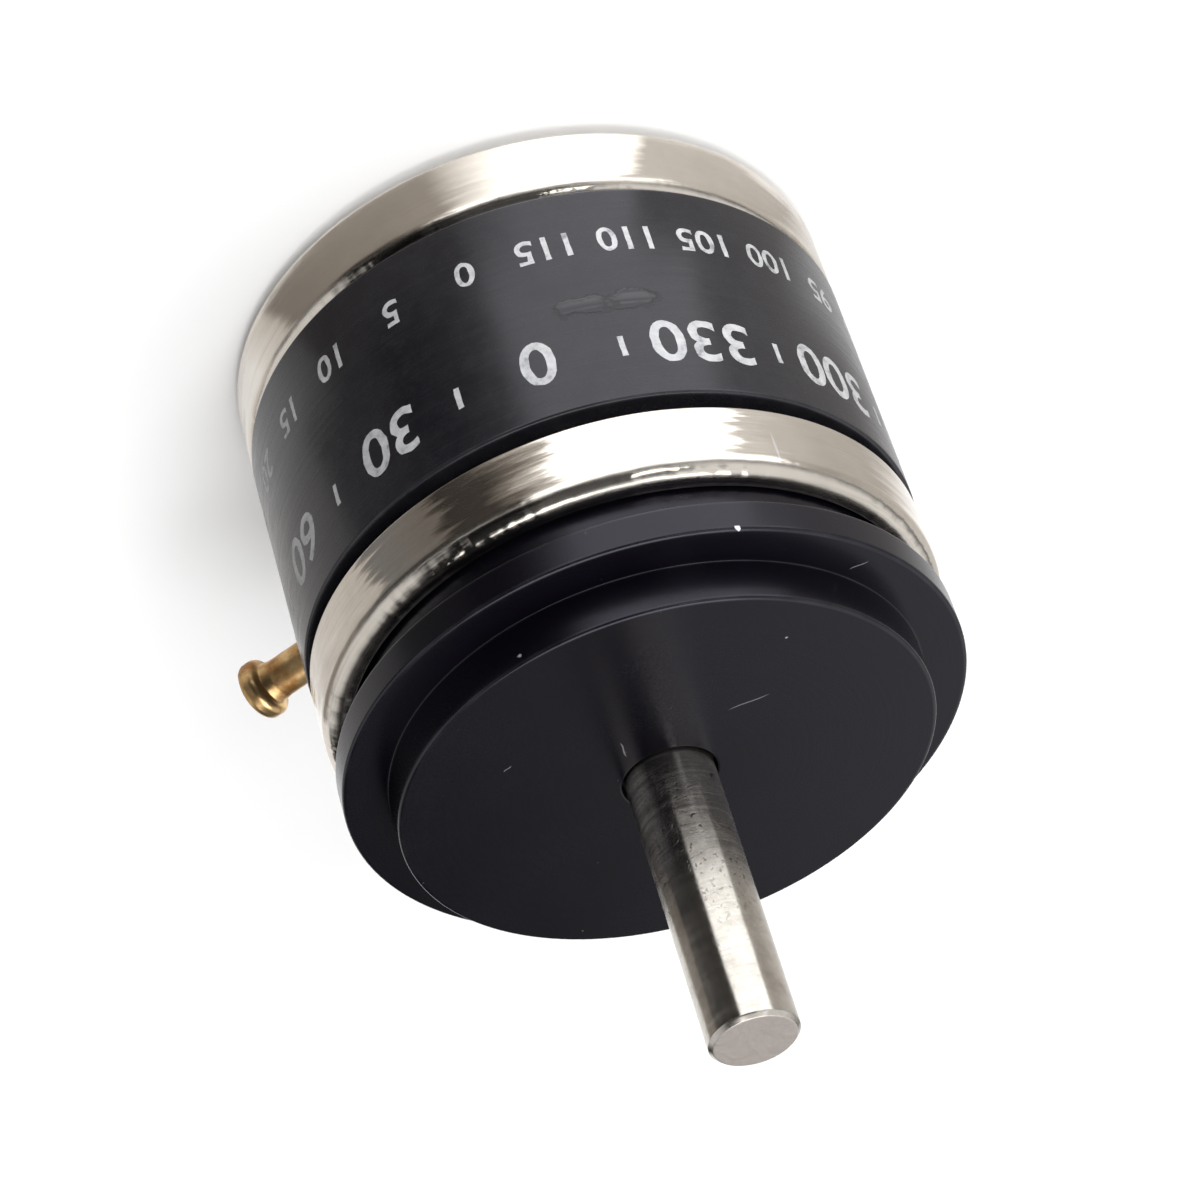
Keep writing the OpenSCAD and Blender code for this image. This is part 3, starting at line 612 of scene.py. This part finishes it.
def make_housing():
    """Barrel with a lip at each end that the bands grip."""
    front_lip = FRONT_BAND_END + BAND_T + FIT
    rear_lip = REAR_BAND_Z - BAND_T - FIT
    outline = rounded([
        (BORE_R, PARTING_FRONT, 0), (LIP_R, PARTING_FRONT, 0), (LIP_R, front_lip, 0.05),
        (ROOT_R, front_lip, 0.05), (ROOT_R, HOUSING_Z, 0.1), (HOUSING_R, HOUSING_Z, EDGE),
        (HOUSING_R, SHOULDER_Z, EDGE), (ROOT_R, SHOULDER_Z, 0.05), (ROOT_R, rear_lip, 0.05),
        (LIP_R, rear_lip, ROLL_R - BAND_T), (LIP_R, PARTING_REAR, 0), (BORE_R, PARTING_REAR, 0),
    ])
    return dress(lathe("case_barrel", outline, steps=360), "housing", "case", moulding())


def make_rear_lid():
    """Plain lid with its spigot and the rear bearing's pocket."""
    lip_end = REAR_BAND_END + BAND_T + FIT
    spigot_top = PARTING_REAR + SPIGOT_L
    cavity_z = REAR_Z + REAR_WEB
    pocket_z = REAR_Z + REAR_WALL
    outline = rounded([
        (AXIS_R, REAR_Z, 0), (ROOT_R, REAR_Z, 0.22), (ROOT_R, lip_end, 0.04), (REAR_LIP_R, lip_end, 0.04),
        (REAR_LIP_R, PARTING_REAR, 0), (SPIGOT_R, PARTING_REAR, 0), (SPIGOT_R, spigot_top, EDGE),
        (CAVITY_R, spigot_top, 0.05), (CAVITY_R, cavity_z, 0.2), (BOSS_R, cavity_z, 0.2),
        (BOSS_R, REAR_TOP, EDGE), (POCKET_R, REAR_TOP, 0.05), (POCKET_R, pocket_z, 0),
        (AXIS_R, pocket_z, 0),
    ])
    lid = lathe("lid_rear", outline, steps=360)
    black = anodised("black_anodise_rear", (0.0045, 0.0042, 0.0062), 4200)
    return dress(lid, "rear_lid", "case", black)


def make_shaft():
    """Spindle with a chamfer at each end and a retaining-ring groove behind the front bearing and before the
    rear one. Its front end is a face of its own metal."""
    ring_grooves = [(BEARING_END - RING_NEAR, BEARING_END - RING_FAR),
                    (REAR_BEARING_Z + RING_FAR, REAR_BEARING_Z + RING_NEAR)]
    groove_r = SHAFT_R - RING_DEPTH
    end_r = SHAFT_R - CHAMFER
    corners = [(AXIS_R, SHAFT_TIP, 0), (end_r, SHAFT_TIP, 0.05), (SHAFT_R, SHAFT_TIP - CHAMFER, 0.06)]
    for top, bottom in ring_grooves:
        corners += [(SHAFT_R, top, 0), (groove_r, top, 0), (groove_r, bottom, 0), (SHAFT_R, bottom, 0)]
    corners += [(SHAFT_R, SHAFT_END + CHAMFER, 0.05), (end_r, SHAFT_END, 0.05), (AXIS_R, SHAFT_END, 0)]
    shaft = lathe("spindle", rounded(corners), steps=192)
    dress(shaft, "shaft", "rotor", shaft_steel())
    shaft.data.materials.append(faced_end())
    for face in shaft.data.polygons:
        if face.center.z > (SHAFT_TIP - 0.01) * MM:
            face.material_index = 1
    return shaft


def make_terminal(side, node):
    """Turned terminal with a hollow end and a round bead, dented a little by handling."""
    low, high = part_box(node)
    middle = (low + high) / 2 / MM
    angle = math.atan2(middle.y, middle.x)
    wire_hole = mounts[node + "_wire"]
    wire = Vector(wire_hole["pos_m"]) / MM
    wire_len = wire_hole["dims"]["length_mm"]
    end = math.hypot(wire.x, wire.y) + wire_len / 2 + RIM_L
    rim_low = end - RIM_L
    hole_low = rim_low - wire_len
    neck = rim_low - RIM_NECK
    root = BORE_R - 0.3
    outline = rounded([
        (AXIS_R, hole_low, 0), (WIRE_HOLE_R, hole_low, 0.05), (WIRE_HOLE_R, rim_low, 0.3),
        (RIM_R - 0.3, end, 0.06), (RIM_R, end, 0.26), (RIM_R, neck, 0.3),
        (BARREL_R + 0.08, neck - 0.12, 0.1), (BARREL_R, neck - 0.5, 0.3),
        (BARREL_R, BORE_R + 1.0, 0), (BARREL_R, root, 0.08), (AXIS_R, root, 0),
    ], arc_steps=8, support=0.02)

    def dented(r, z, turn):
        near_end = max(0.0, min(1.0, (z - rim_low + 0.5) / 0.6))
        spot = Vector((math.cos(turn), math.sin(turn), z * 0.6 + side * 7))
        dent = near_end * abs(noise.noise(spot * 1.7)) * 0.045
        return r * (1 - dent), z

    place = (Matrix.Translation((0, 0, wire.z)) @ Matrix.Rotation(angle, 4, "Z")
             @ Matrix.Rotation(math.pi / 2, 4, "Y"))
    obj = lathe("lug_%d" % (side + 2), outline, steps=96, place=place, shape=dented)
    return dress(obj, node, "case", GOLD)


# ---------------------------------------------------------------- printed scales

FONT_SIZE = 1.38  # Font size that makes a figure about 1 high.
INK_SPREAD = 0.018  # How far the ink makes a figure's strokes bolder, as a share of its height.
INK_SINK = 0.01
INK_PROUD = 0.004
FRONT_START = 110.0  # Where the two scales start round the housing, in degrees.
REAR_START = 117.5


def flat_text(words, height):
    """A word as a flat mesh, centred, that reads upright when the shaft points up. Height in millimetres."""
    curve = bpy.data.curves.new("figures", "FONT")
    curve.body = words
    curve.size = height * FONT_SIZE
    curve.align_x = "CENTER"
    curve.offset = INK_SPREAD * height
    curve.resolution_u = 6
    flat = bpy.data.objects.new("figures_flat", curve)
    bpy.context.scene.collection.objects.link(flat)
    bpy.context.view_layer.update()
    mesh = bpy.data.meshes.new_from_object(flat.evaluated_get(bpy.context.evaluated_depsgraph_get()))
    bpy.data.objects.remove(flat)
    verts = [v.co.copy() for v in mesh.vertices]
    faces = [tuple(p.vertices) for p in mesh.polygons]
    bpy.data.meshes.remove(mesh)
    return verts, faces


def flat_bar(width, low, high):
    """Flat upright bar as a mark."""
    w = width / 2
    corners = [(-w, low, 0), (w, low, 0), (w, high, 0), (-w, high, 0)]
    return [Vector(corner) for corner in corners], [(0, 1, 2, 3)]


def lay_on_housing(point, angle, z, radius):
    """Flat point (x round, y up) in millimetres to its place on the housing, with an uneven edge."""
    rough = noise.noise(Vector((point.x * 4 + angle * 40, point.y * 4, 0))) * 0.035
    turn = angle + (point.x + rough) / radius
    return Vector((radius * math.cos(turn), radius * math.sin(turn), z + point.y + rough * 0.8))


def refine(verts, faces, length):
    """Splits the long edges of flat polygons so that they follow the curve of the housing."""
    bm = bmesh.new()
    for v in verts:
        bm.verts.new(v)
    bm.verts.ensure_lookup_table()
    for f in faces:
        bm.faces.new([bm.verts[i] for i in f])
    bmesh.ops.triangulate(bm, faces=bm.faces)
    for _ in range(3):
        long_edges = [e for e in bm.edges if e.calc_length() > length]
        if not long_edges:
            break
        bmesh.ops.subdivide_edges(bm, edges=long_edges, cuts=1)
        bmesh.ops.triangulate(bm, faces=bm.faces)
    bm.verts.index_update()
    fine_verts = [v.co.copy() for v in bm.verts]
    fine_faces = [tuple(v.index for v in f.verts) for f in bm.faces]
    bm.free()
    return fine_verts, fine_faces


def ink_sheet(name, marks):
    """One thin closed skin of ink from flat marks: (verts, faces, angle, z). It stands a little proud of the
    wall and reaches a little into it."""
    inner, outer = HOUSING_R - INK_SINK, HOUSING_R + INK_PROUD
    verts, faces = [], []
    for flat, polys, angle, z in marks:
        flat, polys = refine(flat, polys, 0.3)
        base, n = len(verts), len(flat)
        verts += [lay_on_housing(p, angle, z, inner) for p in flat]
        verts += [lay_on_housing(p, angle, z, outer) for p in flat]
        # Edges that only one polygon has, in the order they came, carry the skin's side walls.
        rim = {}
        for poly in polys:
            faces.append(tuple(base + i for i in reversed(poly)))
            faces.append(tuple(base + n + i for i in poly))
            for i, a in enumerate(poly):
                b = poly[(i + 1) % len(poly)]
                if (b, a) in rim:
                    del rim[(b, a)]
                else:
                    rim[(a, b)] = True
        faces += [(base + a, base + b, base + n + b, base + n + a) for a, b in rim]
    obj = mesh_object(name, verts, faces)
    obj.data.materials.append(INK)
    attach(obj, "case")
    return obj


def make_front_scale():
    """Degrees round the housing by the front band, with a bar between two figures."""
    z = HOUSING_Z - 3.25
    marks = []
    for degrees in range(0, 360, 30):
        turn = math.radians(FRONT_START + degrees)
        marks.append((*flat_text(str(degrees), 1.9), turn, z))
        marks.append((*flat_bar(0.2, 0, 0.9), turn + math.radians(15), z + 0.5))
    ink_sheet("scale_front", marks)


def make_rear_scale():
    """Plain count round the housing by the rear band, and the terminals' numbers where they stand."""
    z = SHOULDER_Z + 1.9
    marks = []
    for step in range(24):
        turn = math.radians(REAR_START + 15 * step)
        by_terminals = -150 < math.degrees(math.atan2(math.sin(turn), math.cos(turn))) < -30
        if not by_terminals:
            marks.append((*flat_text(str(5 * step), 1.1), turn, z))
    for number, degrees in enumerate((-135, -90, -45), start=1):
        marks.append((*flat_text(str(number), 1.3), math.radians(degrees), SHOULDER_Z + 1.0))
    ink_sheet("scale_rear", marks)


NICKEL = nickel()
GOLD = gold()
INK = ink()
make_front_lid()
make_band("band_front", "front_clamp_band", FRONT_BAND_Z, 3.0)
make_housing()
make_band("band_rear", "rear_clamp_band", REAR_BAND_Z, 11.0)
make_rear_lid()
make_shaft()
for number, terminal_node in enumerate(("terminal_left", "terminal_centre", "terminal_right")):
    make_terminal(number - 1, terminal_node)
make_front_scale()
make_rear_scale()

# ---------------------------------------------------------------- CAD pieces that stay, inside the case

CAD_MATERIALS = {
    "phenolic": moulded("phenolic", (0.24, 0.13, 0.07)),
    "copper": steel("copper", (0.72, 0.36, 0.18)),
    "resistance_wire": steel("resistance_wire", (0.56, 0.54, 0.50)),
    "gold_wire": steel("gold_wire", (0.82, 0.6, 0.3)),
    "contact_brass": steel("contact_brass", (0.78, 0.58, 0.28)),
    "bearing_steel": steel("bearing_steel", (0.74, 0.74, 0.75)),
    "spring_steel": steel("spring_steel", (0.30, 0.30, 0.31)),
}
for part in frame["record"]["subparts"]:
    if part["material_slot"] in CAD_MATERIALS:
        cad = frame["nodes"][part["node"]]
        cad.data.materials.clear()
        cad.data.materials.append(CAD_MATERIALS[part["material_slot"]])
        cad.data.shade_smooth()
        cad.data.set_sharp_from_angle(angle=math.radians(30))

# ---------------------------------------------------------------- studio

CAMERA_AZIMUTH = 110.0  # The photo's view, fitted to the edges seen in it: angles in degrees, places in mm.
CAMERA_ELEVATION = 36.68
CAMERA_ROLL = 162.21
CAMERA_AIM = (-1.482, 2.788, -4.198)
CAMERA_DISTANCE = 140.67
CAMERA_LENS = 122.47
LAMP_DISTANCE = 0.5  # In metres.

# What a wall of the part mirrors, by the angle its normal makes round the shaft, in three rings of light on
# the floor: (first angle, last angle, brightness at the first, brightness at the last).
NEAR_GLOW = [(25, 40, 0.97, 0.93), (50, 82, 0.56, 0.74), (84, 104, 1.95, 1.95), (118, 153, 0.36, 0.22),
             (155, 200, 0.58, 0.85)]
MIDDLE_GLOW = [(24, 30, 1.3, 1.2), (48, 79, 0.54, 0.72), (81, 113, 1.95, 1.95), (116, 120, 0.40, 0.26),
               (126, 134, 0.05, 0.04), (137, 153, 0.18, 0.20), (155, 185, 0.58, 0.8), (190, 200, 1.2, 1.3)]
FAR_GLOW = [(24, 50, 1.0, 0.6), (70, 78, 0.45, 0.55), (80, 116, 2.0, 1.9), (119, 152, 0.04, 0.04),
            (154, 170, 0.20, 0.28), (172, 200, 0.9, 1.2)]
# Radii where each ring ends and the next starts.
RING_EDGES = (HOUSING_R + 0.4, 17.5, 37, 300)


def landing(turn, reach):
    """Angle where the camera's sight line, mirrored by the wall at turn, meets the floor after reach mm.
    It holds for the walls that the camera sees, from 20 to 200 degrees."""
    mirrored = math.radians(2 * turn - CAMERA_AZIMUTH)
    turn = math.radians(turn)
    x = HOUSING_R * math.cos(turn) + reach * math.cos(mirrored)
    y = HOUSING_R * math.sin(turn) + reach * math.sin(mirrored)
    return math.atan2(y, x)


def flat_ring(name, r_in, r_out, steps=96):
    """Flat ring just above the floor, as a mesh object."""
    verts, faces = [], []
    for i in range(steps):
        turn = TURN * i / steps
        spoke = Vector((math.cos(turn), math.sin(turn), 0))
        verts += [spoke * (r * MM) + Vector((0, 0, (REAR_Z + 0.1) * MM)) for r in (r_in, r_out)]
        j = (i + 1) % steps
        faces.append((2 * i, 2 * i + 1, 2 * j + 1, 2 * j))
    mesh = bpy.data.meshes.new(name)
    mesh.from_pydata(verts, [], faces)
    ring = bpy.data.objects.new(name, mesh)
    bpy.context.scene.collection.objects.link(ring)
    return ring


def glow_paint(name, reach, glow):
    """Light by the angle round the part, from above only. Its colour is warmer where it is dim."""
    full = 2
    mat = bpy.data.materials.new(name)
    mat.use_nodes = True
    s = Nodes(mat.node_tree)
    s.tree.nodes.clear()
    place = s.node("ShaderNodeNewGeometry")
    x, y = s.split(place.outputs["Position"])[:2]
    share = s.node("ShaderNodeMapRange")
    share.inputs["From Min"].default_value = -math.pi
    share.inputs["From Max"].default_value = math.pi
    s.link(s.math("ARCTAN2", y, x), share.inputs["Value"])
    ends = []
    for first, last, at_first, at_last in glow:
        ends += [(first, at_first), (last, at_last)]
    spots = sorted(((landing(turn, reach) / math.pi + 1) / 2, value) for turn, value in ends)
    seam = spots[0][1] / full
    stops = [(0, seam)]
    for position, value in spots:
        warm = min(1.0, 0.88 + 0.12 * value)
        stops.append((position, (value / full, value / full * warm, value / full * warm ** 2)))
    stops.append((1, seam))
    light = s.node("ShaderNodeEmission")
    light.inputs["Strength"].default_value = full
    s.link(s.ramp(share.outputs[0], stops), light.inputs["Color"])
    sides = s.node("ShaderNodeMixShader")
    s.link(place.outputs["Backfacing"], sides.inputs[0])
    s.link(light.outputs[0], sides.inputs[1])
    s.link(s.node("ShaderNodeBsdfTransparent").outputs[0], sides.inputs[2])
    s.link(sides.outputs[0], s.node("ShaderNodeOutputMaterial").inputs[0])
    return mat


def glow_card(name, r_in, r_out, reach, glow):
    """Ring of light for the metal to mirror, which the camera doesn't see."""
    card = flat_ring(name, r_in, r_out)
    card.data.materials.append(glow_paint(name, reach, glow))
    card.visible_camera = False
    card.visible_shadow = False
    card.visible_transmission = False


def make_floor():
    """Pale floor, six metres wide, under the rear lid."""
    half = 3.0
    corners = [(-half, -half), (half, -half), (half, half), (-half, half)]
    mesh = bpy.data.meshes.new("floor")
    mesh.from_pydata([(x, y, REAR_Z * MM) for x, y in corners], [], [(0, 1, 2, 3)])
    floor = bpy.data.objects.new("floor", mesh)
    bpy.context.scene.collection.objects.link(floor)
    mat = bpy.data.materials.new("floor_paint")
    mat.use_nodes = True
    shader = mat.node_tree.nodes["Principled BSDF"]
    shader.inputs["Base Color"].default_value = (0.93, 0.93, 0.93, 1)
    shader.inputs["Roughness"].default_value = 0.9
    shader.inputs["Specular IOR Level"].default_value = 0.1
    mesh.materials.append(mat)


def facing(nodes, direction, low, high, dark, bright):
    """Brightness that rises from dark to bright as a ray turns towards a direction."""
    side = nodes.node("ShaderNodeVectorMath", operation="DOT_PRODUCT")
    side.inputs[1].default_value = Vector(direction).normalized()
    nodes.link(nodes.node("ShaderNodeTexCoord").outputs["Generated"], side.inputs[0])
    ramp = nodes.node("ShaderNodeMapRange", interpolation_type="SMOOTHSTEP")
    for socket, value in (("From Min", low), ("From Max", high), ("To Min", dark), ("To Max", bright)):
        ramp.inputs[socket].default_value = value
    nodes.link(side.outputs["Value"], ramp.inputs["Value"])
    return ramp.outputs[0]


def choose(nodes, switch, off, on):
    """One brightness or the other by a light-path switch."""
    mix = nodes.node("ShaderNodeMix", data_type="FLOAT")
    nodes.link(switch, mix.inputs["Factor"])
    nodes.feed(off, mix.inputs["A"])
    nodes.feed(on, mix.inputs["B"])
    return mix.outputs["Result"]


def make_world():
    """White to the camera. Matt surfaces see a room that is brighter on one side. Shiny ones see a dim
    horizon, a ceiling with a bright and a dim side, a lit doorway, and the dark shape of whoever holds the
    camera."""
    world = bpy.data.worlds.new("studio")
    bpy.context.scene.world = world
    world.use_nodes = True
    nodes = Nodes(world.node_tree)
    nodes.tree.nodes.clear()
    room = facing(nodes, (0.62, 0.78, 0.1), -0.9, 0.9, 0.2, 1.0)
    ceiling = facing(nodes, (1.013, 0.537, 0.213), -0.14, 0.2, 0.01, 0.84)
    above = facing(nodes, (0, 0, 1), -0.02, 0.45, 0.1, 1.0)
    person = facing(nodes, (-0.28, 0.77, 0.57), 0.72, 0.9, 1.0, 0.06)
    doorway = facing(nodes, (-0.89, -0.41, 0.2), 0.66, 0.93, 0.0, 0.75)
    mirrored = nodes.math("MAXIMUM", nodes.times(nodes.times(ceiling, above), person), doorway)
    path = nodes.node("ShaderNodeLightPath")
    lit = choose(nodes, path.outputs["Is Glossy Ray"], room, mirrored)
    shown = choose(nodes, path.outputs["Is Camera Ray"], lit, 1.0)
    light = nodes.node("ShaderNodeBackground")
    nodes.link(shown, light.inputs["Color"])
    nodes.link(light.outputs[0], nodes.node("ShaderNodeOutputWorld").inputs[0])


def toward(azimuth, elevation):
    """Unit vector from the part in a direction given in degrees."""
    a, e = math.radians(azimuth), math.radians(elevation)
    return Vector((math.cos(e) * math.cos(a), math.cos(e) * math.sin(a), math.sin(e)))


def area(name, azimuth, elevation, width, height, watts, mirrored=True):
    """Softbox that faces the part from a direction. Width and height in metres."""
    lamp = bpy.data.lights.new(name, "AREA")
    lamp.shape = "RECTANGLE"
    lamp.size = width
    lamp.size_y = height
    lamp.energy = watts
    obj = bpy.data.objects.new(name, lamp)
    obj.location = toward(azimuth, elevation) * LAMP_DISTANCE
    obj.rotation_euler = (-obj.location).to_track_quat("-Z", "Y").to_euler()
    obj.visible_glossy = mirrored
    bpy.context.scene.collection.objects.link(obj)


def make_camera():
    """From above and beside the shaft, turned so that the shaft points down."""
    away = toward(CAMERA_AZIMUTH, CAMERA_ELEVATION)
    roll = math.radians(CAMERA_ROLL)
    aim = Vector(CAMERA_AIM) * MM
    distance = CAMERA_DISTANCE * MM
    data = bpy.data.cameras.new("camera")
    data.lens = CAMERA_LENS
    data.sensor_width = 36
    data.clip_start = 0.01
    camera = bpy.data.objects.new("camera", data)
    camera.location = aim + away * distance
    turn = (-away).to_track_quat("-Z", "Y").to_matrix().to_4x4() @ Matrix.Rotation(roll, 4, "Z")
    camera.rotation_euler = turn.to_euler()
    bpy.context.scene.collection.objects.link(camera)
    bpy.context.scene.camera = camera


make_floor()
# The reach is how far a mirrored sight line runs to about the middle of the ring. The far ring lies so
# far out that only the line's direction counts.
glow_card("glow_near", *RING_EDGES[0:2], reach=4, glow=NEAR_GLOW)
glow_card("glow_middle", *RING_EDGES[1:3], reach=19, glow=MIDDLE_GLOW)
glow_card("glow_far", *RING_EDGES[2:4], reach=3000, glow=FAR_GLOW)
make_world()
area("overhead", azimuth=0, elevation=89, width=0.42, height=0.42, watts=1.5)
area("window", azimuth=84, elevation=33, width=0.34, height=0.12, watts=1.2, mirrored=False)
area("glint", azimuth=80, elevation=31, width=0.1, height=0.06, watts=0.12)
make_camera()
bpy.context.scene.view_settings.view_transform = "Standard"
